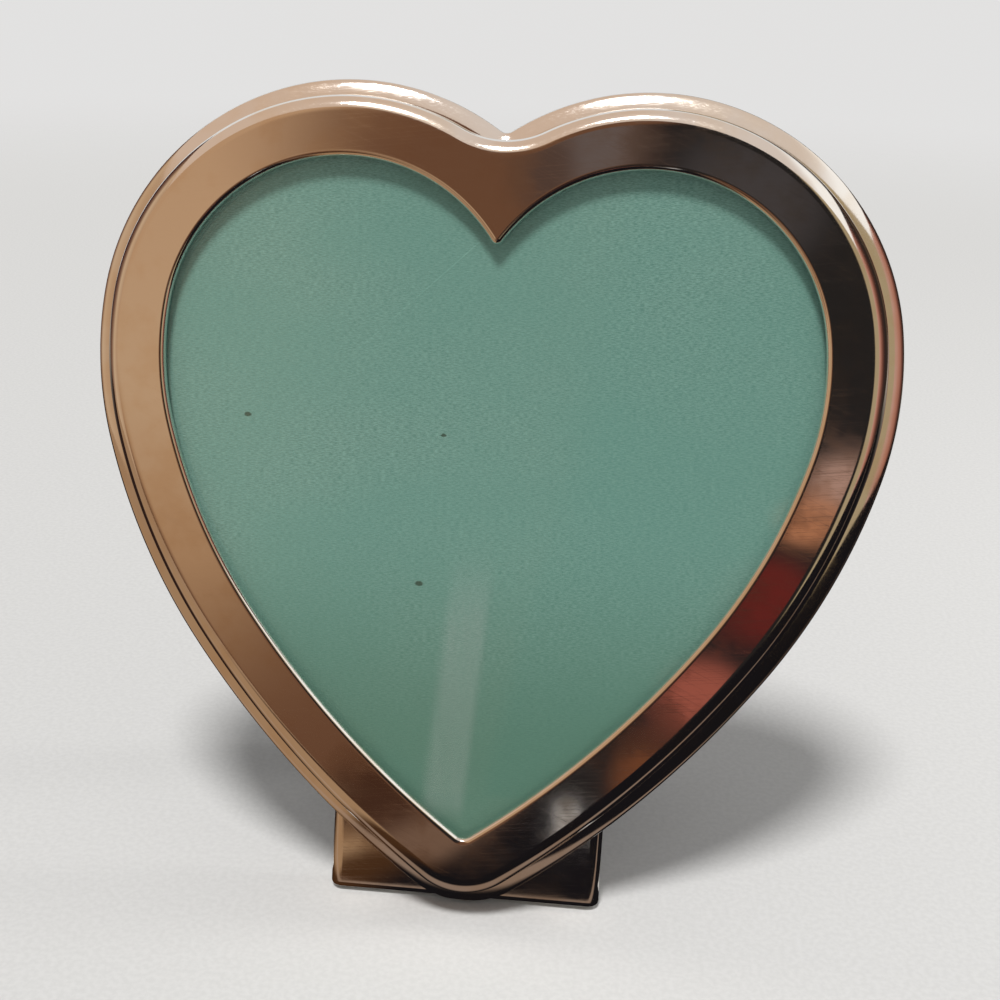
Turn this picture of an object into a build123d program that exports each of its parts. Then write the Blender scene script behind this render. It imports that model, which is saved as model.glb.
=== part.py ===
from build123d import *
import os
from math import acos, cos, degrees, radians, sin, sqrt, tan

os.makedirs("parts", exist_ok=True)

# A heart shaped photo frame that leans back on a foot plate and a folding strut.
# Millimetres and degrees. X is across the frame, Y runs backwards and Z is up. The origin lies on
# the table, under the middle of the narrow flat ground along the foot plate's lower back edge.

# Heart: the edge of the opening, as four tangent arcs on each side from the lower tip to the notch.
# Every other heart line is this one moved outwards. Heights in the heart count from this tip. The
# lower flank's radius is worked out, so that the lobes meet on the axis at the notch normal.
tip_half_angle = 55
lower_flank_turn = 19
upper_flank_radius = 106
upper_flank_turn = 20.5
shoulder_radius = 55
shoulder_turn = 23.5
lobe_radius = 33
notch_normal = 148
opening_tip_radius = 2
opening_notch_radius = 1.2

# The frame as it stands
lean = 15
strut_angle = 28
cut_overrun = 1

# Bezel: the polished moulding in front, with a rabbet behind its lip
bezel_width = 11.4
bezel_depth = 6.4
bezel_rounding = 3.3
bezel_notch_radius = 16
lip_width = 3
lip_depth = 1.6
lip_rounding = 1

# Rear rim: a flat heart ring behind the bezel, a little wider than it
rim_width = 15
rim_thickness = 2
rim_front_rounding = 1.4
rim_back_rounding = 0.4
rim_notch_radius = 2

# Sheets in the rabbet, from the front
sheet_clearance = 0.4
glass_thickness = 1.6
card_thickness = 0.4
filler_thickness = 1.6
panel_thickness = 2.6
lining_thickness = 0.5

# Turn buttons, each on a shoulder screw, at three places on either side
button_normals = (-40, 12, 82)
button_pivot_width = 9.2
button_hub_radius = 2.9
button_reach = 10
button_end_width = 7
button_thickness = 1
button_play = 0.2
running_clearance = 0.05
fixing_clearance = 0.05
button_bearing_radius = 1.5
button_shank_radius = 1.2
button_shank_length = 4.2
button_head_radius = 2.5
button_head_height = 1.2
button_head_rounding = 0.6
button_slot_width = 0.7
button_slot_depth = 0.5

# Foot plate behind the tip, and its two countersunk screws
foot_width = 53
foot_thickness = 5
foot_height = 25.5
foot_above_tip = 0.3
foot_side_rounding = 2.3
foot_end_rounding = 1.2
foot_grinding = 0.2
foot_panel_gap = 0.6
foot_screw_spread = 15
foot_screw_height = 1
foot_shank_radius = 1.5
foot_screw_length = 9.4
foot_head_radius = 3
foot_head_angle = 90
foot_slot_width = 0.9
foot_slot_depth = 0.9

# Strut hinge: a bracket on the back panel, a pin, and a clip on the strut
hinge_height = 94
hinge_rise = 3
bracket_thickness = 0.8
bracket_above = 10.5
bracket_below = 11
bracket_corner = 2
ear_spacing = 25.4
ear_end_radius = 2.4
pin_radius = 1
pin_head_radius = 1.7
pin_head_length = 0.6
clip_thickness = 0.8
clip_play = 0.3
clip_length = 18
clip_corner = 3
clip_neck = 0.7
stop_tab_width = 10
stop_gap = 0.05
bracket_rivet_spread = 7
bracket_rivet_drop = 7.5
clip_rivet_spread = 6
clip_rivet_drop = 12
rivet_radius = 1
rivet_head_radius = 2
rivet_head_height = 0.6
rivet_head_rounding = 0.4
rivet_end_radius = 1.8
rivet_end_height = 0.5

# Strut board
strut_thickness = 3
strut_top_width = 34
strut_toe_width = 44
strut_top_gap = 3
strut_top_corner = 5
strut_toe_corner = 1.5
strut_lining_thickness = 0.4
strut_lining_lift = 1

# How round pegs sit on the plane that places them
seated = (Align.CENTER, Align.CENTER, Align.MIN)
sunk = (Align.CENTER, Align.CENTER, Align.MAX)


def heart_arcs():
    """Centre, radius, first and last normal angle of each arc of the opening's right half."""
    upper_normal = lower_flank_turn - tip_half_angle
    shoulder_normal = upper_normal + upper_flank_turn
    lobe_normal = shoulder_normal + shoulder_turn
    lower_flank_radius = (
        upper_flank_radius * cos(radians(upper_normal))
        - (upper_flank_radius - shoulder_radius) * cos(radians(shoulder_normal))
        - (shoulder_radius - lobe_radius) * cos(radians(lobe_normal))
        - lobe_radius * cos(radians(notch_normal))
    ) / (cos(radians(upper_normal)) - cos(radians(tip_half_angle)))
    runs = (
        (lower_flank_radius, lower_flank_turn),
        (upper_flank_radius, upper_flank_turn),
        (shoulder_radius, shoulder_turn),
        (lobe_radius, None),
    )
    arcs = []
    normal = -tip_half_angle
    x = -lower_flank_radius * cos(radians(normal))
    y = -lower_flank_radius * sin(radians(normal))
    for index, (radius, turn) in enumerate(runs):
        if index:
            step = runs[index - 1][0] - radius
            x += step * cos(radians(normal))
            y += step * sin(radians(normal))
        last = None if turn is None else normal + turn
        arcs.append(((x, y), radius, normal, last))
        normal = last
    return arcs


def heart(grow, notch_radius=None):
    """The area inside the heart line that lies grow outside the opening's edge."""
    with BuildSketch() as area:
        with BuildLine():
            for centre, radius, first, last in heart_arcs():
                reach = radius + grow
                if first == -tip_half_angle:
                    first = -degrees(acos(-centre[0] / reach))
                if last is None:
                    last = degrees(acos(-centre[0] / reach))
                CenterArc(centre, reach, first, last - first)
            mirror(about=Plane.YZ)
        make_face()
        fillet(area.vertices().sort_by(Axis.Y)[0], opening_tip_radius + grow)
        if notch_radius:
            fillet(area.vertices().sort_by(Axis.Y)[-1], notch_radius)
    return area.sketch


def heart_point(normal, grow):
    """The point with this outward normal on the heart line that lies grow outside the opening."""
    for centre, radius, first, last in heart_arcs():
        if last is None or normal < last:
            reach = radius + grow
            return centre[0] + reach * cos(radians(normal)), centre[1] + reach * sin(radians(normal))


opening_area = heart(0, opening_notch_radius)
rabbet_area = heart(lip_width)
sheet_area = heart(lip_width - sheet_clearance)
bezel_area = heart(bezel_width, bezel_notch_radius)
rim_area = heart(rim_width, rim_notch_radius)
foot_notch_area = heart(lip_width + foot_panel_gap)

# Depths behind the front face
glass_back = lip_depth + glass_thickness
card_back = glass_back + card_thickness
filler_back = card_back + filler_thickness
panel_back = filler_back + panel_thickness
lining_back = panel_back + lining_thickness
rim_back = bezel_depth + rim_thickness
foot_back = rim_back + foot_thickness
bracket_back = lining_back + bracket_thickness
hinge_depth = bracket_back + hinge_rise

# The frame leans until the foot plate's rounded lower back edge meets the table, and that edge is
# ground flat by a little, which sets how high and how far forward the front face lies.
foot_drop = -rim_area.bounding_box().min.Y - foot_above_tip
lean_sin = sin(radians(lean))
lean_cos = cos(radians(lean))
edge_drop = foot_drop - foot_end_rounding
edge_depth = foot_back - foot_end_rounding
land_back = sqrt(foot_end_rounding**2 - (foot_end_rounding - foot_grinding) ** 2)
land_front = (
    foot_end_rounding * lean_sin
    + (foot_grinding - foot_end_rounding + foot_end_rounding * lean_cos) / tan(radians(lean))
)
face_y = edge_drop * lean_sin - edge_depth * lean_cos + (land_front - land_back) / 2
face_z = edge_drop * lean_cos + edge_depth * lean_sin + foot_end_rounding - foot_grinding

# The front face seen from behind: its Z runs backwards through the frame, its Y up the heart
face_plane = Plane(origin=(0, face_y, face_z), x_dir=(-1, 0, 0), z_dir=(0, lean_cos, -lean_sin))
depth_axis = Axis(face_plane.origin, face_plane.z_dir)
height_axis = Axis(face_plane.origin, face_plane.y_dir)


def frame_plane(depth, x=0, y=0, turn=0):
    """A plane seen from behind, parallel to the front face and depth behind it."""
    return Plane(face_plane.location * Location((x, y, depth), (0, 0, turn)))


# Turn button pivots on the rim's back, each with its X towards the inside of the heart
button_planes = []
for normal in button_normals:
    x, y = heart_point(normal, button_pivot_width)
    button_planes.append(frame_plane(rim_back, x, y, 180 + normal))
    button_planes.append(frame_plane(rim_back, -x, y, -normal))
button_lift = button_play + button_thickness + button_play

foot_screw_planes = [
    frame_plane(foot_back, side * foot_screw_spread, foot_screw_height) for side in (1, -1)
]
bracket_rivet_planes = [
    frame_plane(bracket_back, side * bracket_rivet_spread, hinge_height - bracket_rivet_drop)
    for side in (1, -1)
]
bracket_rivet_grip = bracket_back - filler_back

# The strut opens about the hinge pin until its tab meets the bracket. On strut_plane Y runs up the
# strut and Z away from the frame. The side planes look along X at the ears and at the strut.
hinge_plane = frame_plane(hinge_depth, 0, hinge_height)
strut_tilt = radians(strut_angle - lean)
strut_normal = (0, cos(strut_tilt), sin(strut_tilt))
strut_plane = Plane(origin=hinge_plane.origin, x_dir=(-1, 0, 0), z_dir=strut_normal)
ear_side = Plane(origin=hinge_plane.origin, x_dir=face_plane.z_dir, z_dir=(1, 0, 0))
strut_side = Plane(origin=hinge_plane.origin, x_dir=strut_normal, z_dir=(1, 0, 0))
leaf_front = pin_radius + running_clearance
leaf_back = leaf_front + clip_thickness
board_back = leaf_back + strut_thickness
strut_back = board_back + strut_lining_thickness
strut_length = (hinge_plane.origin.Z + strut_back * sin(strut_tilt)) / cos(strut_tilt)
stop_tab_length = (
    (hinge_rise + leaf_front * cos(radians(strut_angle)) - stop_gap) / sin(radians(strut_angle))
)
clip_width = ear_spacing - 2 * clip_play
clip_rivet_planes = [
    Plane(
        strut_plane.offset(leaf_front).location
        * Location((side * clip_rivet_spread, -clip_rivet_drop, 0), (0, 180, 0))
    )
    for side in (1, -1)
]
clip_rivet_grip = clip_thickness + strut_thickness


def rivets(planes, grip, clearance=0):
    """Rivets headed on these planes, each with its closed end flush at the grip's far side."""
    with BuildPart() as pegs:
        with Locations(planes):
            Cylinder(rivet_head_radius, rivet_head_height, align=seated)
            Cylinder(rivet_radius + clearance, grip, align=sunk)
            with Locations((0, 0, -grip)):
                Cylinder(rivet_end_radius + clearance, rivet_end_height + clearance, align=seated)
        head_axis = Axis(planes[0].origin, planes[0].z_dir)
        fillet(pegs.edges().group_by(head_axis)[-1], rivet_head_rounding)
    return pegs.part


def strut_area():
    """The strut board's outline on the strut's plane, run on below the table."""
    half_top = strut_top_width / 2
    half_toe = strut_toe_width / 2
    end = strut_length + cut_overrun
    with BuildSketch() as area:
        Polygon(
            (-half_top, -strut_top_gap),
            (-half_toe, -end),
            (half_toe, -end),
            (half_top, -strut_top_gap),
            align=None,
        )
        fillet(area.vertices().group_by(Axis.Y)[-1], strut_top_corner)
    return area.sketch


def save(piece, name):
    """Labels a finished piece and writes it under its name."""
    piece.label = name
    export_step(piece, f"parts/{name}.step")


# Bezel: heart ring, round over its outer edge and its lip, rabbeted behind for the glass
with BuildPart() as bezel:
    with BuildSketch(frame_plane(0)):
        add(bezel_area)
        add(opening_area, mode=Mode.SUBTRACT)
    extrude(amount=bezel_depth)
    fillet(bezel.faces().sort_by(depth_axis)[0].outer_wire().edges(), bezel_rounding)
    fillet(bezel.faces().sort_by(depth_axis)[0].inner_wires()[0].edges(), lip_rounding)
    with BuildSketch(frame_plane(lip_depth)):
        add(rabbet_area)
    extrude(amount=bezel_depth - lip_depth, mode=Mode.SUBTRACT)
    with Locations(button_planes):
        Hole(button_shank_radius + fixing_clearance, button_shank_length + fixing_clearance)
    with Locations(foot_screw_planes):
        Hole(foot_shank_radius + fixing_clearance, foot_screw_length + fixing_clearance)
save(bezel.part, "bezel")

# Rear rim: heart ring that stands proud of the bezel all round
with BuildPart() as rear_rim:
    with BuildSketch(frame_plane(bezel_depth)):
        add(rim_area)
        add(rabbet_area, mode=Mode.SUBTRACT)
    extrude(amount=rim_thickness)
    fillet(rear_rim.faces().sort_by(depth_axis)[0].outer_wire().edges(), rim_front_rounding)
    fillet(rear_rim.faces().sort_by(depth_axis)[-1].outer_wire().edges(), rim_back_rounding)
    with Locations(button_planes):
        Hole(button_shank_radius + fixing_clearance, rim_thickness)
    with Locations(foot_screw_planes):
        Hole(foot_shank_radius + fixing_clearance, foot_thickness + rim_thickness)
save(rear_rim.part, "rear_rim")

# Glass, card and filler pad, one behind the other
sheets = (
    ("glass", lip_depth, glass_thickness),
    ("card_insert", glass_back, card_thickness),
    ("filler_pad", card_back, filler_thickness),
)
for name, depth, thickness in sheets:
    with BuildPart() as sheet:
        with BuildSketch(frame_plane(depth)):
            add(sheet_area)
        extrude(amount=thickness)
    save(sheet.part, name)

# Back panel and its cloth lining, bored for the bracket's rivets
bracket_rivet_bores = rivets(bracket_rivet_planes, bracket_rivet_grip, fixing_clearance)
boards = (
    ("back_panel", filler_back, panel_thickness),
    ("back_lining", panel_back, lining_thickness),
)
for name, depth, thickness in boards:
    with BuildPart() as board:
        with BuildSketch(frame_plane(depth)):
            add(sheet_area)
        extrude(amount=thickness)
        add(bracket_rivet_bores, mode=Mode.SUBTRACT)
    save(board.part, name)

# Turn buttons: flat teardrops that swing over the back panel's edge
for index, plane in enumerate(button_planes):
    with BuildPart() as button:
        with BuildSketch(plane.offset(button_play)):
            Circle(button_hub_radius)
            with Locations((button_reach - button_end_width / 2, 0)):
                Circle(button_end_width / 2)
            make_hull()
            Circle(button_bearing_radius + running_clearance, mode=Mode.SUBTRACT)
        extrude(amount=button_thickness)
    save(button.part, f"turn_button_{index + 1}")

# Turn button screws: shank, shoulder and slotted round head
with BuildPart() as turn_button_screws:
    with Locations(button_planes):
        Cylinder(button_shank_radius, button_shank_length, align=sunk)
        Cylinder(button_bearing_radius, button_lift, align=seated)
        with Locations((0, 0, button_lift)):
            Cylinder(button_head_radius, button_head_height, align=seated)
    fillet(turn_button_screws.edges().group_by(depth_axis)[-1], button_head_rounding)
    with Locations(button_planes):
        with Locations((0, 0, button_lift + button_head_height)):
            Box(
                2 * button_head_radius,
                button_slot_width,
                button_slot_depth,
                align=sunk,
                mode=Mode.SUBTRACT,
            )
save(turn_button_screws.part, "turn_button_screws")

# Foot plate: round edged plate behind the tip, cut away where the back panel lifts out, with its
# lower back edge ground flat where it stands
with BuildPart() as foot_plate:
    with BuildSketch(frame_plane(rim_back, 0, -foot_drop)):
        Rectangle(foot_width, foot_height, align=(Align.CENTER, Align.MIN))
    extrude(amount=foot_thickness)
    fillet(foot_plate.edges().filter_by(height_axis), foot_side_rounding)
    foot_ends = foot_plate.faces().sort_by(height_axis)
    fillet(foot_ends[0].edges() + foot_ends[-1].edges(), foot_end_rounding)
    with BuildSketch(frame_plane(rim_back)):
        add(foot_notch_area)
    extrude(amount=foot_thickness, mode=Mode.SUBTRACT)
    with Locations(foot_screw_planes):
        CounterSinkHole(
            foot_shank_radius + fixing_clearance,
            foot_head_radius + fixing_clearance,
            foot_thickness,
            foot_head_angle,
        )
    split(bisect_by=Plane.XY)
save(foot_plate.part, "foot_plate")

# Foot screws: countersunk, through the foot plate and the rim into the bezel
foot_head_height = (foot_head_radius - foot_shank_radius) / tan(radians(foot_head_angle / 2))
with BuildPart() as foot_screws:
    with Locations(foot_screw_planes):
        Cylinder(foot_shank_radius, foot_screw_length, align=sunk)
        Cone(foot_shank_radius, foot_head_radius, foot_head_height, align=sunk)
        Box(
            2 * foot_head_radius,
            foot_slot_width,
            foot_slot_depth,
            align=sunk,
            mode=Mode.SUBTRACT,
        )
save(foot_screws.part, "foot_screws")

# Hinge bracket: base on the back panel with an ear bent up along each side
bracket_width = ear_spacing + 2 * bracket_thickness
with BuildPart() as hinge_bracket:
    with BuildSketch(frame_plane(lining_back, 0, hinge_height - bracket_below)) as base:
        Rectangle(bracket_width, bracket_below + bracket_above, align=(Align.CENTER, Align.MIN))
        fillet(base.vertices(), bracket_corner)
    extrude(amount=bracket_thickness)
    with BuildSketch(ear_side.offset(ear_spacing / 2)):
        Rectangle(hinge_rise + bracket_thickness, 2 * ear_end_radius, align=(Align.MAX, Align.CENTER))
        Circle(ear_end_radius)
        Circle(pin_radius + running_clearance, mode=Mode.SUBTRACT)
    extrude(amount=bracket_thickness)
    mirror(about=Plane.YZ)
    add(bracket_rivet_bores, mode=Mode.SUBTRACT)
save(hinge_bracket.part, "hinge_bracket")

save(rivets(bracket_rivet_planes, bracket_rivet_grip), "bracket_rivets")

# Hinge pin: headed outside both ears
with BuildPart() as hinge_pin:
    with BuildSketch(ear_side):
        Circle(pin_radius)
    extrude(amount=bracket_width / 2)
    with BuildSketch(ear_side.offset(bracket_width / 2)):
        Circle(pin_head_radius)
    extrude(amount=pin_head_length)
    mirror(about=Plane.YZ)
save(hinge_pin.part, "hinge_pin")

# Strut clip: strap rolled round the pin, its leaf on the strut board and its tab the strut's stop
clip_rivet_bores = rivets(clip_rivet_planes, clip_rivet_grip, fixing_clearance)
with BuildPart() as strut_clip:
    with BuildSketch(strut_side):
        Circle(leaf_back)
        Circle(leaf_front, mode=Mode.SUBTRACT)
    extrude(amount=clip_width / 2, both=True)
    with BuildSketch(strut_plane.offset(leaf_front)) as leaf:
        with Locations((0, -clip_neck)):
            Rectangle(clip_width, clip_length - clip_neck, align=(Align.CENTER, Align.MAX))
        fillet(leaf.vertices().group_by(Axis.Y)[0], clip_corner)
        with Locations((0, clip_neck)):
            Rectangle(
                stop_tab_width, stop_tab_length - clip_neck, align=(Align.CENTER, Align.MIN)
            )
    extrude(amount=clip_thickness)
    add(clip_rivet_bores, mode=Mode.SUBTRACT)
save(strut_clip.part, "strut_clip")

save(rivets(clip_rivet_planes, clip_rivet_grip), "clip_rivets")

# Strut board: flared leg with rounded top corners, its toe cut flat on the table
with BuildPart() as strut_board:
    with BuildSketch(strut_plane.offset(leaf_back)):
        add(strut_area())
    extrude(amount=strut_thickness)
    split(bisect_by=Plane.XY)
    toe_edges = strut_board.edges().group_by(Axis.Z)[0]
    fillet(toe_edges.group_by(SortBy.LENGTH)[0], strut_toe_corner)
    add(clip_rivet_bores, mode=Mode.SUBTRACT)
save(strut_board.part, "strut_board")

# Strut lining: cloth on the board's outer side, ending a little above the table
with BuildPart() as strut_lining:
    with BuildSketch(strut_plane.offset(board_back)):
        add(strut_area())
    extrude(amount=strut_lining_thickness)
    split(bisect_by=Plane.XY.offset(strut_lining_lift))
save(strut_lining.part, "strut_lining")
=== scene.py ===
import math
import bmesh
import bpy
from mathutils import Matrix, Vector


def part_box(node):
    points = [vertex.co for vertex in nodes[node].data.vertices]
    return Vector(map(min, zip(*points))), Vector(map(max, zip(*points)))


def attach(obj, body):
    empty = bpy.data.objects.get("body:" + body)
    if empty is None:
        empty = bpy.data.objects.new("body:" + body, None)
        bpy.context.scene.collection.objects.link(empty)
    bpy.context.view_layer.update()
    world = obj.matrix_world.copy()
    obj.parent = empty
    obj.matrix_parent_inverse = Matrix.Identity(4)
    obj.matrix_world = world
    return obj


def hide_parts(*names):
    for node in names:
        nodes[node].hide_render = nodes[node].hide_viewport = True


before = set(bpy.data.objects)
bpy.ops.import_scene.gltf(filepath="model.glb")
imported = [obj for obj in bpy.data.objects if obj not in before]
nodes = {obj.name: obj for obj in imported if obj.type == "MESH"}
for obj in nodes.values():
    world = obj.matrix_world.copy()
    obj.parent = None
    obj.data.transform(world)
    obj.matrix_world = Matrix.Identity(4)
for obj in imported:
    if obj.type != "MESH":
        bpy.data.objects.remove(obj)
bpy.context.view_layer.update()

# Bezel: the polished moulding in front. It is cast brass, turned flat on its face, rounded over its
# outer edge and drawn down to a thin lip over the glass, then silver plated and buffed by hand.
MM = 0.001
LEAN = math.radians(15)
tip_half_angle, flank_end, shoulder_start, lobe_start, notch_normal = 55, -36, -15.5, 8, 148
upper_flank_radius, shoulder_radius, lobe_radius = 106, 55, 33
tip_radius, lip_notch, sharpest_notch, bezel_notch = 2, 1.2, 0.25, 16
lip_width, lip_depth, lip_rounding = 3, 1.6, 1
bezel_width, bezel_depth, bezel_rounding, seam_chamfer = 11.4, 6.4, 3.3, 0.12
sheet_gap, glass_thickness = 0.4, 1.6
sheet_grow, contact_gap = lip_width - sheet_gap, 0.04


def turned(angle, radius=1):
    """The point at this angle in degrees on a circle about zero."""
    return radius * math.cos(math.radians(angle)), radius * math.sin(math.radians(angle))


def heart_runs():
    """Centre, radius, first and last normal and count of steps of each arc from tip to notch."""
    upper_x, shoulder_x, lobe_x = (turned(a)[0] for a in (flank_end, shoulder_start, lobe_start))
    lower_flank_radius = (
        upper_flank_radius * upper_x
        - (upper_flank_radius - shoulder_radius) * shoulder_x
        - (shoulder_radius - lobe_radius) * lobe_x
        - lobe_radius * turned(notch_normal)[0]
    ) / (upper_x - turned(tip_half_angle)[0])
    x, y = turned(180 - tip_half_angle, lower_flank_radius)
    normals = (-tip_half_angle, flank_end, shoulder_start, lobe_start, notch_normal)
    radii = (lower_flank_radius, upper_flank_radius, shoulder_radius, lobe_radius)
    found = []
    for index, (radius, steps) in enumerate(zip(radii, (44, 36, 26, 64))):
        if index:
            step_x, step_y = turned(normals[index], radii[index - 1] - radius)
            x, y = x + step_x, y + step_y
        found.append(((x, y), radius, normals[index], normals[index + 1], steps))
    return found


runs = heart_runs()
(flank_x, flank_y), flank_radius = runs[0][:2]
tip_centre = flank_y - math.sqrt((flank_radius - tip_radius) ** 2 - flank_x**2)


def heart_line(grow, rho=sharpest_notch):
    """The heart line that lies grow outside the opening, its notch rounded by rho, in mm."""
    (lobe_x, lobe_y), lobe = runs[-1][:2]
    notch_y = lobe_y + math.sqrt((lobe + grow + rho) ** 2 - lobe_x**2)
    tip_end = math.degrees(math.atan2(tip_centre - flank_y, -flank_x))
    notch_end = math.degrees(math.atan2(notch_y - lobe_y, -lobe_x))
    arcs = [((0, tip_centre), tip_radius + grow, -90, tip_end, 14)]
    for (centre, radius, first, last, steps) in runs:
        first = tip_end if first == -tip_half_angle else first
        last = notch_end if last == notch_normal else last
        arcs.append((centre, radius + grow, first, last, steps))
    arcs.append(((0, notch_y), -rho, notch_end, 90, 10))
    half = []
    for (x, y), radius, first, last, steps in arcs:
        for step in range(steps):
            across, up = turned(first + (last - first) * step / steps, radius)
            half.append((x + across, y + up))
    half.append((0, notch_y - rho))
    return half + [(-x, y) for x, y in half[-2:0:-1]]


glass_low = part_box("glass")[0] / MM
sheet_foot = tip_centre - tip_radius - (lip_width - sheet_gap)
face_y = glass_low.y - sheet_foot * math.sin(LEAN) - lip_depth * math.cos(LEAN)
face_z = (
    glass_low.z - sheet_foot * math.cos(LEAN) + (lip_depth + glass_thickness) * math.sin(LEAN)
)


def placed(across, up, depth):
    """A point given across and up the heart and behind its face, in mm, as it stands in metres."""
    return Vector((
        across,
        face_y + up * math.sin(LEAN) + depth * math.cos(LEAN),
        face_z + up * math.cos(LEAN) - depth * math.sin(LEAN),
    )) * MM


def rounding(centre, radius, first, last, steps):
    """Profile points round an arc from its first to its last angle."""
    return [
        (centre[0] + x, centre[1] + y)
        for x, y in (turned(first + (last - first) * n / steps, radius) for n in range(steps + 1))
    ]


def made(name, points, faces, sharp=35):
    """A mesh piece with its faces turned outwards, smooth but for edges sharper than this."""
    mesh = bpy.data.meshes.new(name)
    mesh.from_pydata([tuple(p) for p in points], [], faces)
    shape = bmesh.new()
    shape.from_mesh(mesh)
    bmesh.ops.recalc_face_normals(shape, faces=shape.faces)
    shape.to_mesh(mesh)
    shape.free()
    mesh.polygons.foreach_set("use_smooth", [True] * len(mesh.polygons))
    mesh.set_sharp_from_angle(angle=math.radians(sharp))
    piece = bpy.data.objects.new(name, mesh)
    bpy.context.scene.collection.objects.link(piece)
    return piece


def swept_ring(name, profile, outer_notch):
    """A ring whose (grow, depth) profile is carried once round the heart, its notch as rounded."""
    width = max(grow for grow, depth in profile)
    lines = [
        heart_line(grow, outer_notch + width - grow if grow > width / 2
                   else max(lip_notch - grow, sharpest_notch))
        for grow, depth in profile
    ]
    count = len(lines[0])
    points = [placed(x, y, depth) for line, (grow, depth) in zip(lines, profile) for x, y in line]
    faces = []
    for ring in range(len(profile)):
        after = (ring + 1) % len(profile)
        for step in range(count):
            onward = (step + 1) % count
            faces.append([r * count + s for r, s in (
                (ring, step), (ring, onward), (after, onward), (after, step)
            )])
    return made(name, points, faces)


class Flow:
    """One output in a finish's nodes, so that sums on it can be written as Python."""

    def __init__(self, tree, socket=None):
        self.tree, self.socket = tree, socket

    def add(self, kind, settings=None, inputs=None, output=0):
        """Adds a node of this type: first its settings, then its sockets' values or links."""
        node = self.tree.nodes.new(kind)
        for name, value in (settings or {}).items():
            if name == "stops":
                ramp = node.color_ramp.elements
                while len(ramp) < len(value):
                    ramp.new(1)
                for stop, (place, colour) in zip(ramp, value):
                    stop.position, stop.color = place, (*colour, 1)
            else:
                setattr(node, name, value)
        for name, value in (inputs or {}).items():
            if isinstance(value, Flow):
                self.tree.links.new(value.socket, node.inputs[name])
            else:
                node.inputs[name].default_value = value
        return Flow(self.tree, node.outputs[output] if node.outputs else None)

    def sum(self, operation, first, second):
        """The Math node for one sum."""
        return self.add("ShaderNodeMath", {"operation": operation}, {0: first, 1: second})

    def __add__(self, other):
        return self.sum("ADD", self, other)

    def __sub__(self, other):
        return self.sum("SUBTRACT", self, other)

    def __rsub__(self, other):
        return self.sum("SUBTRACT", other, self)

    def __mul__(self, other):
        return self.sum("MULTIPLY", self, other)

    def __truediv__(self, other):
        return self.sum("DIVIDE", self, other)

    __radd__, __rmul__ = __add__, __mul__

    def within(self, low, high):
        """0 below low and 1 above high, smooth between; the other way round if low is above."""
        return self.add(
            "ShaderNodeMapRange",
            {"interpolation_type": "SMOOTHSTEP"},
            {"Value": self, "From Min": low, "From Max": high},
        )

    def blend(self, first, second):
        """Colour mixed from first to second by this value."""
        return self.add(
            "ShaderNodeMix", {"data_type": "RGBA"}, {0: self, 6: first, 7: second}, output=2
        )


def colour(red, green, blue):
    """A colour given by its eight bit screen values, as Blender's linear one."""
    return tuple(
        part / 12.92 if part <= 0.04045 else ((part + 0.055) / 1.055) ** 2.4
        for part in (red / 255, green / 255, blue / 255)
    ) + (1,)


def finish(name):
    """A new empty finish: its material and a start for its nodes."""
    material = bpy.data.materials.new(name)
    material.use_nodes = True
    material.node_tree.nodes.clear()
    return material, Flow(material.node_tree)


def heart_space(start, turn=0, scale=(1, 1, 1)):
    """Places in mm across, behind and up the heart, turned in its face and then scaled."""
    here = start.add("ShaderNodeTexCoord", output=3)
    level = start.add(
        "ShaderNodeMapping", {}, {"Vector": here, "Rotation": (LEAN, math.radians(turn), 0)}
    )
    return start.add("ShaderNodeMapping", {}, {
        "Vector": level, "Scale": tuple(part / MM for part in scale)
    })


def polished(name, silver, warm, rough, scratch_depth):
    """Buffed metal: slow waves left by the wheel, fine crossing scratches and faint tarnish."""
    material, start = finish(name)
    scratches = None
    for turn, across, along, low in ((7, 9, 0.06, 0.63), (-24, 11, 0.09, 0.67)):
        lines = start.add("ShaderNodeTexNoise", {}, {
            "Vector": heart_space(start, turn, (along, across, across)),
            "Scale": 1, "Detail": 0,
        }).within(low, low + 0.06)
        scratches = lines if scratches is None else scratches + lines
    patches = start.add("ShaderNodeTexNoise", {}, {
        "Vector": heart_space(start), "Scale": 0.09, "Detail": 3, "Roughness": 0.62,
    })
    worn = patches.within(0.42, 0.68)
    waves = start.add("ShaderNodeTexNoise", {}, {
        "Vector": heart_space(start, 10, (0.05, 0.05, 0.03)), "Scale": 1, "Detail": 1,
    })
    height = waves * 24 + patches * 0.25 - scratches * scratch_depth
    normal = start.add(
        "ShaderNodeBump", {}, {"Height": height, "Distance": 0.001 * MM, "Strength": 1}
    )
    metal = start.add("ShaderNodeBsdfPrincipled", {}, {
        "Base Color": (worn * 0.5).blend(silver, warm),
        "Metallic": 1,
        "Roughness": rough + worn * 0.06 + scratches * 0.05,
        "Normal": normal,
    })
    start.add("ShaderNodeOutputMaterial", {}, {"Surface": metal})
    return material


silver_plate = polished(
    "silver_plate", colour(246, 243, 238), colour(238, 224, 204), rough=0.06, scratch_depth=0.1
)
bezel = swept_ring("bezel_moulding", [
    (bezel_width - seam_chamfer, bezel_depth),
    (bezel_width, bezel_depth - seam_chamfer),
    *rounding((bezel_width - bezel_rounding, bezel_rounding), bezel_rounding, 0, -90, 16),
    (bezel_width - bezel_rounding - 0.25, 0),
    (lip_rounding + 0.25, 0),
    *rounding((lip_rounding, lip_rounding), lip_rounding, -90, -180, 9),
    (0, lip_depth),
    (lip_width, lip_depth),
    (lip_width, bezel_depth),
], bezel_notch)
bezel.data.materials.append(silver_plate)
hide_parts("bezel")
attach(bezel, "frame")

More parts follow.
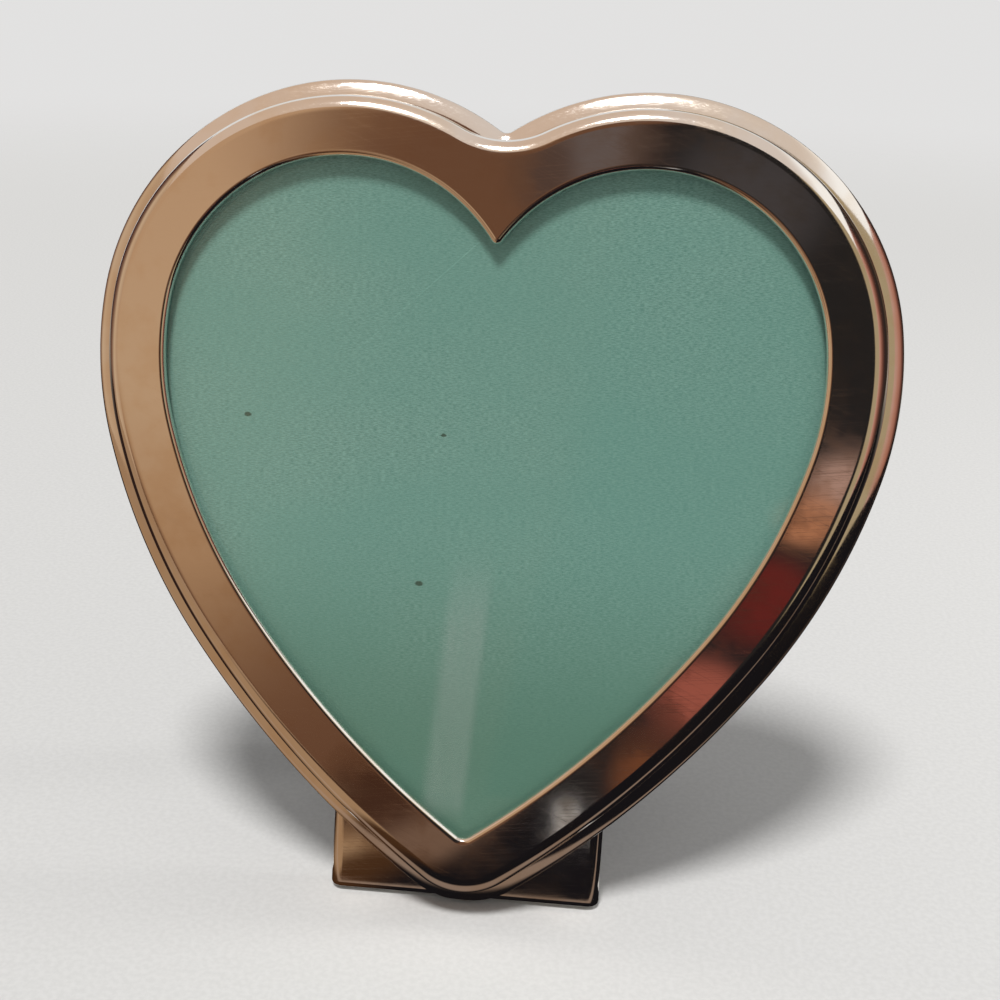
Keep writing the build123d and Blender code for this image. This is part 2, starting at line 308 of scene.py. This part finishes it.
# Rear rim: a heart ring of the same plated brass, soldered behind the bezel, which it passes by
# more than three millimetres all round. Its face falls away in one long round, which shows as a
# light line along the edge.
rim_width, rim_thickness, rim_notch, rim_back_rounding = 15, 2, 2, 0.4
rim_back = bezel_depth + rim_thickness
fall_depth = 0.85
falls = (
    (0, 0), (1.2, 0.37), (2.1, 0.72), (2.8, 1.05),
    (3.2, 1.31), (3.45, 1.56), (3.56, 1.75), (3.6, 1.95),
)
rear_rim = swept_ring("rear_rim_ring", [
    (lip_width, bezel_depth),
    (bezel_width - 0.3, bezel_depth),
    *[(bezel_width + wide, bezel_depth + fall_depth * deep) for wide, deep in falls],
    *rounding(
        (rim_width - rim_back_rounding, rim_back - rim_back_rounding), rim_back_rounding, 0, 90, 5
    ),
    (rim_width - rim_back_rounding - 0.2, rim_back),
    (lip_width, rim_back),
], rim_notch)
rear_rim.data.materials.append(silver_plate)
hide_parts("rear_rim")
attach(rear_rim, "frame")

# Glass: a flat sheet of old window glass, cut to the heart and held in the rabbet under the lip.
# It is faintly green in its thickness, and a faint pale streak on it is a painted reflection.
def cut_sheet(node, name, front, thickness, bevel, material):
    """A flat heart cut to fit the rabbet, its edges just broken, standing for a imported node."""
    line, inner = heart_line(sheet_grow), heart_line(sheet_grow - bevel)
    front, back = front + contact_gap, front + thickness
    levels = ((inner, front), (line, front + bevel), (line, back - bevel), (inner, back))
    points = [placed(x, y, depth) for loop, depth in levels for x, y in loop]
    count = len(line)
    faces = [
        [level * count + step, level * count + (step + 1) % count,
         (level + 1) * count + (step + 1) % count, (level + 1) * count + step]
        for level in range(3) for step in range(count)
    ]
    faces += [list(range(count)), list(range(3 * count, 4 * count))]
    sheet = made(name, points, faces)
    sheet.data.materials.append(material)
    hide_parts(node)
    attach(sheet, "frame")


def heart_place(start):
    """How far across and how far up the heart a point is, in mm from the opening's tip."""
    level = start.add("ShaderNodeSeparateXYZ", {}, {"Vector": heart_space(start)})
    up = Flow(start.tree, level.socket.node.outputs[2])
    return level, up - (face_y * math.sin(LEAN) + face_z * math.cos(LEAN))


window_glass, start = finish("window_glass")
across, up = heart_place(start)
# Painted reflection: a faint pale streak of haze down the lower pane stands for a reflection in the
# glass.
streak_line = across - up * 0.07 + 4.5
reflection_streak = (
    streak_line.within(-5.5, -2.5) * streak_line.within(4.6, 2.4)
    * up.within(58, 40) * up.within(2, 8)
)
streaks = start.add("ShaderNodeTexNoise", {}, {
    "Vector": heart_space(start, 8, (0.5, 0.5, 0.04)), "Scale": 1, "Detail": 3,
})
clear = start.add("ShaderNodeBsdfTransparent", {}, {"Color": (0.955, 0.985, 0.965, 1)})
streak_haze = start.add("ShaderNodeBsdfDiffuse", {}, {"Color": colour(226, 228, 224)})
gleam = start.add("ShaderNodeBsdfGlossy", {}, {"Color": (1, 1, 1, 1), "Roughness": 0.03})
streaked_pane = start.add(
    "ShaderNodeMixShader", {}, {0: reflection_streak * (streaks * 0.05 + 0.03), 1: clear, 2: streak_haze}
)
facing = start.add("ShaderNodeLayerWeight", {}, {"Blend": 0.5}, output=1)
square = facing * facing
mirrored = square * square * facing * 0.9 + 0.036
pane = start.add("ShaderNodeMixShader", {}, {0: mirrored, 1: streaked_pane, 2: gleam})
start.add("ShaderNodeOutputMaterial", {}, {"Surface": pane})
cut_sheet("glass", "glass_pane", lip_depth, glass_thickness, 0.12, window_glass)

# Card insert: the dusty green mount card that fills the frame while it holds no picture. It is pulp
# card with short fibres lying across it, a little faded, with three small dark specks.
green_card, start = finish("green_card")
across, up = heart_place(start)
fibres = start.add("ShaderNodeTexNoise", {}, {
    "Vector": heart_space(start, 2, (1.2, 1, 6.4)), "Scale": 1, "Detail": 3, "Roughness": 0.6,
})
pulp = start.add("ShaderNodeTexNoise", {}, {
    "Vector": heart_space(start, 0, (3, 3, 3)), "Scale": 1, "Detail": 3,
})
fading = start.add("ShaderNodeTexNoise", {}, {
    "Vector": heart_space(start, 0, (0.02, 0.02, 0.03)), "Scale": 1, "Detail": 2,
})
sheet_colour = fibres.within(0.3, 0.7).blend(colour(108, 143, 135), colour(146, 176, 169))
sheet_colour = (fading.within(0.35, 0.65) * 0.5).blend(sheet_colour, colour(118, 158, 150))
sheet_colour = (pulp.within(0.62, 0.75) * 0.4).blend(sheet_colour, colour(156, 178, 168))
# Painted shade: the card is darker towards the bottom of the heart.
sheet_colour = (up.within(62, 14) * 0.8).blend(sheet_colour, colour(98, 130, 115))
specks = None
for speck_x, speck_up, size in ((-45.5, 78.3, 0.75), (-11.3, 48.3, 0.95), (-8.1, 76.6, 0.4)):
    away_x, away_up = across - speck_x, (up - speck_up) * 1.7
    away = (away_x * away_x + away_up * away_up + pulp * 0.5 - 0.25).within(size, size * 0.35)
    specks = away if specks is None else specks + away
sheet_colour = (specks * 0.8).blend(sheet_colour, colour(58, 66, 52))
card = start.add("ShaderNodeBsdfPrincipled", {}, {
    "Base Color": sheet_colour,
    "Roughness": 0.86 + pulp * 0.12,
    "Specular IOR Level": 0.2,
    "Normal": start.add("ShaderNodeBump", {}, {
        "Height": fibres + pulp * 0.5, "Distance": 0.05 * MM, "Strength": 0.8,
    }),
})
start.add("ShaderNodeOutputMaterial", {}, {"Surface": card})
card_front, card_thickness = lip_depth + glass_thickness, 0.4
cut_sheet("card_insert", "mount_card", card_front, card_thickness, 0.04, green_card)

# Filler pad: grey strawboard packing behind the card, cut to the same heart. It takes up the room
# between card and back panel and is seen only at its edge when the back is out.
grey_board, start = finish("grey_board")
flecks = start.add("ShaderNodeTexNoise", {}, {
    "Vector": heart_space(start, 0, (2.4, 2.4, 2.4)), "Scale": 1, "Detail": 5, "Roughness": 0.7,
})
layers = start.add("ShaderNodeTexNoise", {}, {
    "Vector": heart_space(start, 0, (0.4, 9, 0.4)), "Scale": 1, "Detail": 2,
})
board = start.add("ShaderNodeBsdfPrincipled", {}, {
    "Base Color": flecks.within(0.35, 0.65).blend(colour(128, 122, 112), colour(172, 166, 154)),
    "Roughness": 0.88 + flecks * 0.1,
    "Normal": start.add("ShaderNodeBump", {}, {
        "Height": flecks + layers, "Distance": 0.06 * MM, "Strength": 0.7,
    }),
})
start.add("ShaderNodeOutputMaterial", {}, {"Surface": board})
filler_front, filler_thickness = card_front + card_thickness, 1.6
cut_sheet(
    "filler_pad", "packing_card", filler_front, filler_thickness, 0.1, grey_board
)

# Back panel: the hard pressed fibreboard heart that closes the back, sawn to size, its edges
# stained dark. It carries the hinge, and the turn buttons hold it in.
def dressed(node, material, soft_edge=0.05):
    """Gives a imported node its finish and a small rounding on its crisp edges."""
    piece = nodes[node]
    piece.data.materials.clear()
    piece.data.materials.append(material)
    edge = piece.modifiers.new("soft_edge", "BEVEL")
    edge.width, edge.segments, edge.limit_method = soft_edge * MM, 2, "ANGLE"
    edge.angle_limit = math.radians(40)
    even = piece.modifiers.new("even_faces", "WEIGHTED_NORMAL")
    even.mode, even.weight = "FACE_AREA", 100


fibreboard, start = finish("fibreboard")
flecks = start.add("ShaderNodeTexNoise", {}, {
    "Vector": heart_space(start, 0, (1.6, 5, 1.6)), "Scale": 1, "Detail": 6, "Roughness": 0.66,
})
board = start.add("ShaderNodeBsdfPrincipled", {}, {
    "Base Color": flecks.within(0.32, 0.68).blend(colour(62, 44, 32), colour(104, 78, 56)),
    "Roughness": 0.7 + flecks * 0.2,
    "Normal": start.add("ShaderNodeBump", {}, {
        "Height": flecks, "Distance": 0.08 * MM, "Strength": 0.8,
    }),
})
start.add("ShaderNodeOutputMaterial", {}, {"Surface": board})
dressed("back_panel", fibreboard, soft_edge=0.2)

# Back lining: short pile cotton velvet glued over the panel's outer side and cut to the same heart.
# Its edge is turned down where the pile ends, and the pile lies in soft strokes.
panel_thickness, lining_thickness = 2.6, 0.5
panel_back = filler_front + filler_thickness + panel_thickness


def pile(across, up, rise):
    """How far the pile stands at this place: soft waves, in mm."""
    waves = math.sin(across * 0.31 + 2 * math.sin(up * 0.11)) + math.sin(up * 0.37 - across * 0.13)
    return rise * waves / 2


def velvet_finish(name, dark, light):
    """Velvet: a dark ground, lighter where the strokes of the pile turn, with a soft sheen."""
    material, start = finish(name)
    tufts = start.add("ShaderNodeTexNoise", {}, {
        "Vector": heart_space(start, 0, (4.5, 4.5, 4.5)), "Scale": 1, "Detail": 3, "Roughness": 0.6,
    })
    strokes = start.add("ShaderNodeTexNoise", {}, {
        "Vector": heart_space(start, 12, (0.09, 0.09, 0.045)), "Scale": 1, "Detail": 2,
    })
    ground = strokes.within(0.36, 0.64).blend(dark, light)
    cloth = start.add("ShaderNodeBsdfPrincipled", {}, {
        "Base Color": (tufts.within(0.35, 0.7) * 0.6).blend(ground, dark),
        "Roughness": 0.9 + tufts * 0.08,
        "Specular IOR Level": 0.12,
        "Sheen Weight": 0.7,
        "Sheen Roughness": 0.35,
        "Sheen Tint": colour(120, 124, 150),
        "Normal": start.add("ShaderNodeBump", {}, {
            "Height": tufts + strokes * 0.6, "Distance": 0.16 * MM, "Strength": 0.9,
        }),
    })
    start.add("ShaderNodeOutputMaterial", {}, {"Surface": cloth})
    return material


velvet = velvet_finish("velvet", colour(22, 24, 44), colour(38, 42, 70))
outline = heart_line(sheet_grow)
middle_up, rings = 60, 26
edge_roll = ((1, 0), (1, 0.55), (0.9985, 0.8), (0.996, 0.94), (0.992, 1))
levels = [*edge_roll, *[(1 - (n + 1) / rings, 1) for n in range(rings - 1)]]
points = []
for share, rise in levels:
    for x, y in outline:
        x, y = x * share, middle_up + (y - middle_up) * share
        lift = lining_thickness * rise - (0.06 - pile(x, y, 0.05) if rise == 1 else 0)
        points.append(placed(x, y, panel_back + lift))
count = len(outline)
faces = [
    [ring * count + step, ring * count + (step + 1) % count,
     (ring + 1) * count + (step + 1) % count, (ring + 1) * count + step]
    for ring in range(len(levels) - 1) for step in range(count)
]
faces.append([(len(levels) - 1) * count + step for step in range(count)])
back_cloth = made("back_cloth", points, faces, sharp=70)
back_cloth.data.materials.append(velvet)
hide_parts("back_lining")
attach(back_cloth, "frame")
cut_width, cut_length = (
    max(p[n] for p in outline) - min(p[n] for p in outline) for n in (0, 1)
)
cut_area = abs(sum(
    outline[n - 1][0] * outline[n][1] - outline[n][0] * outline[n - 1][1] for n in range(count)
)) / 2
cut_width * MM
cut_length * MM
cut_area * MM * MM

# Turn buttons and their screws: flat teardrops stamped from nickel plated steel sheet and tumbled
# smooth, each turning on a slotted steel shoulder screw in the rim.
nickel = polished(
    "nickel", colour(206, 202, 194), colour(186, 178, 164), rough=0.2, scratch_depth=0.7
)
screw_steel = polished(
    "screw_steel", colour(176, 174, 170), colour(150, 142, 130), rough=0.3, scratch_depth=0.9
)
for number in range(1, 7):
    dressed(f"turn_button_{number}", nickel, soft_edge=0.12)
dressed("turn_button_screws", screw_steel, soft_edge=0.05)

# Foot plate and its screws: a thick plate of the same plated brass with all its edges rounded, held
# behind the tip by two countersunk screws and ground flat along the edge that it stands on.
dressed("foot_plate", silver_plate)
dressed("foot_screws", screw_steel, soft_edge=0.05)

# Strut hinge: a pressed bracket riveted to the back panel, and a strap riveted to the strut and
# rolled round a steel pin. Both are nickel plated, and the strap's tab stops the strut as it opens.
dressed("hinge_bracket", nickel, soft_edge=0.1)
dressed("bracket_rivets", nickel, soft_edge=0.05)
dressed("hinge_pin", screw_steel, soft_edge=0.1)
dressed("strut_clip", nickel, soft_edge=0.1)
dressed("clip_rivets", nickel, soft_edge=0.05)

# Strut: a leg of the same fibreboard, flared to its toe, that props the frame. The same velvet is
# glued to its outer side and ends a little above the table.
dressed("strut_board", fibreboard, soft_edge=0.2)
strut_angle, hinge_height, hinge_rise, bracket_thickness = 28, 94, 3, 0.8
hinge = placed(0, hinge_height, panel_back + lining_thickness + bracket_thickness + hinge_rise)
tilt = math.radians(strut_angle) - LEAN
strut_up = Vector((0, -math.sin(tilt), math.cos(tilt)))
strut_out = Vector((0, math.cos(tilt), math.sin(tilt)))
strut_top_gap, strut_top_corner, half_top, half_toe = 3, 5, 17, 22
leaf_back, strut_thickness, strut_cloth, cloth_lift = 1.85, 3, 0.4, 1
strut_back = leaf_back + strut_thickness + strut_cloth
strut_length = (hinge.z / MM + strut_back * math.sin(tilt)) / math.cos(tilt)
cloth_end = strut_length - (cloth_lift + 0.4) / math.cos(tilt)
rows, columns = 60, 24
points, faces = [], []
for level, inset in ((0, 0), (0.55, 0), (0.94, 0.12), (1, 0.35)):
    for row in range(rows + 1):
        top, end = strut_top_gap + inset, cloth_end - inset
        down = top + (end - top) * (row / rows) ** 1.35
        share = (down - strut_top_gap) / (strut_length - strut_top_gap)
        half = half_top + (half_toe - half_top) * share
        corner = strut_top_corner - (down - strut_top_gap)
        if corner > 0:
            half -= strut_top_corner - math.sqrt(strut_top_corner**2 - corner**2)
        half = max(half - inset, 1)
        for column in range(columns + 1):
            x = half * (2 * column / columns - 1)
            lift = strut_cloth * level - (0.05 - pile(x, down, 0.04) if level == 1 else 0)
            points.append(hinge - strut_up * down * MM + Vector((x * MM, 0, 0))
                          + strut_out * (leaf_back + strut_thickness + lift) * MM)
stride = (rows + 1) * (columns + 1)
rim = (
    [(0, c) for c in range(columns)] + [(r, columns) for r in range(rows)]
    + [(rows, c) for c in range(columns, 0, -1)] + [(r, 0) for r in range(rows, 0, -1)]
)
for level in range(3):
    for (row, column), (next_row, next_column) in zip(rim, rim[1:] + rim[:1]):
        here = level * stride + row * (columns + 1) + column
        there = level * stride + next_row * (columns + 1) + next_column
        faces.append([here, there, there + stride, here + stride])
for row in range(rows):
    for column in range(columns):
        here = 3 * stride + row * (columns + 1) + column
        faces.append([here, here + 1, here + columns + 2, here + columns + 1])
strut_cloth_piece = made("strut_cloth", points, faces, sharp=70)
shape = bmesh.new()
shape.from_mesh(strut_cloth_piece.data)
bmesh.ops.delete(shape, geom=[v for v in shape.verts if not v.link_faces], context="VERTS")
shape.to_mesh(strut_cloth_piece.data)
shape.free()
strut_cloth_piece.data.materials.append(velvet)
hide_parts("strut_lining")
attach(strut_cloth_piece, "strut")
(cloth_end - strut_top_gap) * MM
(half_top + half_toe) * (cloth_end - strut_top_gap) * 0.99 * MM * MM

# Floor: a wide sheet of plain pale board that fades into the pale surround, so no edge shows.
floor_reach = 1.6
floor = made("floor", [
    (x * floor_reach, y * floor_reach, 0) for x, y in ((-1, -1), (1, -1), (1, 1), (-1, 1))
], [[0, 1, 2, 3]])
pale_floor, start = finish("pale_floor")
here = start.add("ShaderNodeTexCoord", output=3)
reach = start.add("ShaderNodeVectorMath", {"operation": "LENGTH"}, {0: here}, output=1)
grain = start.add("ShaderNodeTexNoise", {}, {"Vector": here, "Scale": 900, "Detail": 3})
board = start.add("ShaderNodeBsdfPrincipled", {}, {
    "Base Color": grain.within(0.3, 0.7).blend(colour(203, 202, 200), colour(209, 208, 206)),
    "Roughness": 0.8 + grain * 0.1,
    "Specular IOR Level": 0,
})
gone = start.add("ShaderNodeBsdfTransparent", {}, {})
faded = start.add("ShaderNodeMixShader", {}, {0: reach.within(0.7, 1.5), 1: board, 2: gone})
start.add("ShaderNodeOutputMaterial", {}, {"Surface": faded})
floor.data.materials.append(pale_floor)

# Surround: even pale studio light from all sides.
world = bpy.data.worlds.new("surround")
bpy.context.scene.world = world
world.use_nodes = True
world.node_tree.nodes.clear()
start = Flow(world.node_tree)
path = start.add("ShaderNodeLightPath")
seen = path + Flow(start.tree, path.socket.node.outputs["Is Glossy Ray"])
seen = seen + Flow(start.tree, path.socket.node.outputs["Is Transmission Ray"])
seen = seen.within(0, 1)
surround = start.add("ShaderNodeBackground", {}, {
    "Color": seen.blend((0.36, 0.36, 0.36, 1), (0.76, 0.755, 0.75, 1)), "Strength": 1,
})
start.add("ShaderNodeOutputWorld", {}, {"Surface": surround})

# Reflection boards: a painted room in front, boards at the sides, above and behind, and a dark
# cloth below. Polished metal shows what stands round it, so these give the plate its gold, black
# and red.
camera_across, camera_up, camera_away = 24.7, 93.7, 275.5
room_side, room_front, room_rear, room_top, cloth_level = 720, -760, 760, 640, 1


def reflection_board(name, corners, material):
    """A painted board that only the metal and the glass see."""
    board = made(name, corners, [[0, 1, 2, 3]])
    board.data.materials.append(material)
    board.visible_camera = board.visible_diffuse = board.visible_shadow = False
    board.visible_transmission = board.visible_volume_scatter = False
    material.cycles.emission_sampling = "NONE"


def shining(start, paint, strength=1):
    """Makes a board shine by itself in this paint."""
    glow = start.add("ShaderNodeEmission", {}, {"Color": paint, "Strength": strength})
    start.add("ShaderNodeOutputMaterial", {}, {"Surface": glow})


# The front board's paint follows the reflections that the photo shows, in places and in tints. It is
# laid out for the camera below: across and up are the place on the face where that camera sees a
# spot of the board mirrored. From elsewhere it shows shifted, as any reflection does.
room_away = 600
spread = 1 + room_away / camera_away
room_paint, start = finish("room_paint")
board_across, board_up = heart_place(start)
across = (board_across + camera_across * (spread - 1)) / spread
up = (board_up + camera_up * (spread - 1)) / spread
wobble = start.add("ShaderNodeTexNoise", {}, {
    "Vector": heart_space(start, 0, (0.006, 0.006, 0.004)), "Scale": 1, "Detail": 2,
})
slant = across - up * 0.15 + (wobble - 0.5) * 10
gold = start.add("ShaderNodeValToRGB", {"stops": (
    (0.0, colour(44, 24, 16)[:3]),
    (0.16, colour(98, 66, 48)[:3]),
    (0.4, colour(160, 124, 92)[:3]),
    (0.62, colour(180, 148, 117)[:3]),
    (1.0, colour(176, 140, 108)[:3]),
)}, {"Fac": (up + 5) / 140})
brown = colour(100, 68, 49)
paint = (slant + up.within(100, 130) * 16).within(-62, -22).blend(gold, brown)
low_gold = up.within(12, 2) * slant.within(-20, -8)
paint = (low_gold * 0.8).blend(paint, colour(120, 92, 74))
dark = slant.within(0, 6) * up.within(70, 30) + slant.within(-2, 15) * up.within(30, 70)
paint = dark.within(0, 1).blend(paint, colour(34, 31, 30))
paint = across.within(100, 125).blend(paint, colour(160, 142, 112))


def patch(x, y, wide, tall, soft):
    """A soft round patch on the face at this place, as a mask."""
    off_x, off_y = (across - x + (wobble - 0.5) * 8) / wide, (up - y) / tall
    return (off_x * off_x + off_y * off_y).within(1 + soft, 1 - soft)


for x, y, wide, tall, soft, tint in (
    (-17, 8, 9, 8, 0.7, colour(62, 38, 26)),
    (16, 132, 9, 11, 0.8, colour(94, 82, 78)),
    (9, 126, 5, 8, 0.8, colour(76, 58, 50)),
    (46, 122, 13, 12, 0.9, colour(64, 59, 59)),
    (66, 73, 7, 4.5, 0.7, colour(164, 130, 116)),
    (60, 65.5, 6, 4.2, 0.5, colour(182, 122, 88)),
    (54, 50, 9, 8, 0.6, colour(94, 34, 30)),
    (43, 31, 8, 7, 0.7, colour(148, 80, 66)),
    (33, 15, 6, 7, 0.7, colour(104, 62, 40)),
):
    paint = patch(x, y, wide, tall, soft).blend(paint, tint)
shining(start, paint, 1.08)
board_low, board_high = -176, 620
reflection_board("front_board", [
    placed(x, y, -room_away) for x, y in (
        (-room_side, board_low), (room_side, board_low),
        (room_side, board_high), (-room_side, board_high),
    )
], room_paint)


def side_board(name, x, stops):
    """A tall board beside the frame, painted from front to back in these colours."""
    side_paint, start = finish(name)
    level = start.add("ShaderNodeSeparateXYZ", {}, {"Vector": heart_space(start)}, output=1)
    blur = start.add("ShaderNodeTexNoise", {}, {
        "Vector": heart_space(start, 0, (0.004, 0.004, 0.012)), "Scale": 1, "Detail": 2,
    })
    paint = start.add("ShaderNodeValToRGB", {"stops": [
        (place, colour(*tint)[:3]) for place, tint in stops
    ]}, {"Fac": (level + 600) / 1300 + (blur - 0.5) * 0.1})
    shining(start, paint)
    reflection_board(name, [Vector((x, y, z)) * MM for y, z in (
        (room_front, cloth_level), (room_rear, cloth_level),
        (room_rear, room_top), (room_front, room_top),
    )], side_paint)


side_board("left_board", -room_side, (
    (0.0, (176, 142, 112)), (0.3, (196, 166, 136)), (0.5, (120, 88, 70)), (0.75, (66, 44, 44)),
))
side_board("right_board", room_side, (
    (0.0, (186, 146, 130)), (0.12, (176, 122, 104)), (0.27, (120, 74, 62)), (0.4, (66, 44, 38)),
    (0.6, (42, 36, 34)), (0.85, (84, 66, 52)),
))

rear_paint, start = finish("rear_paint")
across = heart_place(start)[0]
shining(start, across.within(120, 420).blend(colour(150, 134, 112), colour(48, 38, 34)))
rear_start = 60
reflection_board("rear_board", [Vector((x, room_rear, z)) * MM for x, z in (
    (rear_start, cloth_level), (room_side, cloth_level),
    (room_side, room_top), (rear_start, room_top),
)], rear_paint)

ceiling_paint, start = finish("ceiling_paint")
across = heart_place(start)[0]
overhead = across.within(-200, 200).blend(colour(206, 180, 160), colour(214, 200, 190))
overhead = across.within(330, 500).blend(overhead, colour(252, 248, 244))
shining(start, overhead)
ceiling_end = 500
reflection_board("ceiling_board", [Vector((x, y, room_top)) * MM for x, y in (
    (-room_side, room_front), (room_side, room_front),
    (room_side, ceiling_end), (-room_side, ceiling_end),
)], ceiling_paint)

cloth_paint, start = finish("dark_cloth")
across, up = heart_place(start)
shade = start.add("ShaderNodeTexNoise", {}, {
    "Vector": heart_space(start, 0, (0.008, 0.008, 0.008)), "Scale": 1, "Detail": 2,
})
across = across + (shade - 0.5) * 6
near_paint = across.within(-30, -41).blend(colour(70, 45, 27), colour(160, 127, 96))
far_paint = across.within(-40, -62).blend(colour(112, 86, 70), colour(66, 42, 30))
far_paint = across.within(-100, -180).blend(far_paint, colour(158, 126, 98))
table_paint = up.within(-60, -46).blend(far_paint, near_paint)
table_paint = up.within(-15, -9).blend(table_paint, colour(44, 30, 26))
table_paint = across.within(-25, -12).blend(table_paint, colour(22, 20, 22))
table_paint = up.within(10, 100).blend(table_paint, colour(158, 146, 134))
slope = across - (up + 110) * 0.12
gleam = slope.within(8, 12) * slope.within(22, 16) * up.within(-70, -90)
table_paint = gleam.blend(table_paint, colour(226, 220, 216))
edge_line = up.within(-18.2, -17.2) * up.within(-14.8, -15.8)
table_paint = (edge_line * 0.6).blend(table_paint, colour(168, 142, 124))
shining(start, table_paint)
for name, low_x, high_x, low_y, high_y in (
    ("dark_cloth", -room_side, room_side, room_front, 2),
    ("left_cloth", -room_side, -33, 2, room_rear),
    ("right_cloth", 33, room_side, 2, 160),
    ("rear_cloth", 74, room_side, 160, room_rear),
):
    reflection_board(name, [Vector((x, y, cloth_level)) * MM for x, y in (
        (low_x, low_y), (high_x, low_y), (high_x, high_y), (low_x, high_y)
    )], cloth_paint)

# Studio light: one wide soft light from high in front, one soft strip on the right and the
# surround. The strip is kept out of reflections, where it would be one hard white line.
sun = bpy.data.lights.new("high_light", "SUN")
sun.energy, sun.angle = 2.6, math.radians(13)
lamp = bpy.data.objects.new("high_light", sun)
lamp.rotation_euler = (placed(0, 0, 0) - placed(-60, 560, -400)).to_track_quat("-Z", "Y").to_euler()
bpy.context.scene.collection.objects.link(lamp)
strip = bpy.data.lights.new("right_light", "AREA")
strip.shape, strip.energy, strip.size, strip.size_y = "RECTANGLE", 0.5, 60 * MM, 260 * MM
lamp = bpy.data.objects.new("right_light", strip)
lamp.location = placed(520, 300, 40)
lamp.rotation_euler = (placed(20, 80, 0) - lamp.location).to_track_quat("-Z", "Y").to_euler()
lamp.visible_glossy = False
bpy.context.scene.collection.objects.link(lamp)

# Camera: a little above and to the right of the frame, leaning slightly, as a hand holds it.
camera_roll = math.radians(3.34)
eye, aim = placed(camera_across, camera_up, -camera_away), placed(3.4, 65.5, 0)
sight = (aim - eye).normalized()
heart_up = Vector((0, math.sin(LEAN), math.cos(LEAN)))
side = sight.cross(heart_up).normalized()
lens = bpy.data.cameras.new("camera")
lens.lens, lens.sensor_width = 54, 36
lens.clip_start, lens.clip_end = 0.01, 20
camera = bpy.data.objects.new("camera", lens)
upright = Matrix((side, side.cross(sight), -sight)).transposed()
rolled = upright @ Matrix.Rotation(camera_roll, 3, "Z")
camera.matrix_world = Matrix.Translation(eye) @ rolled.to_4x4()
bpy.context.scene.collection.objects.link(camera)
bpy.context.scene.camera = camera
bpy.context.scene.view_settings.view_transform = "Standard"
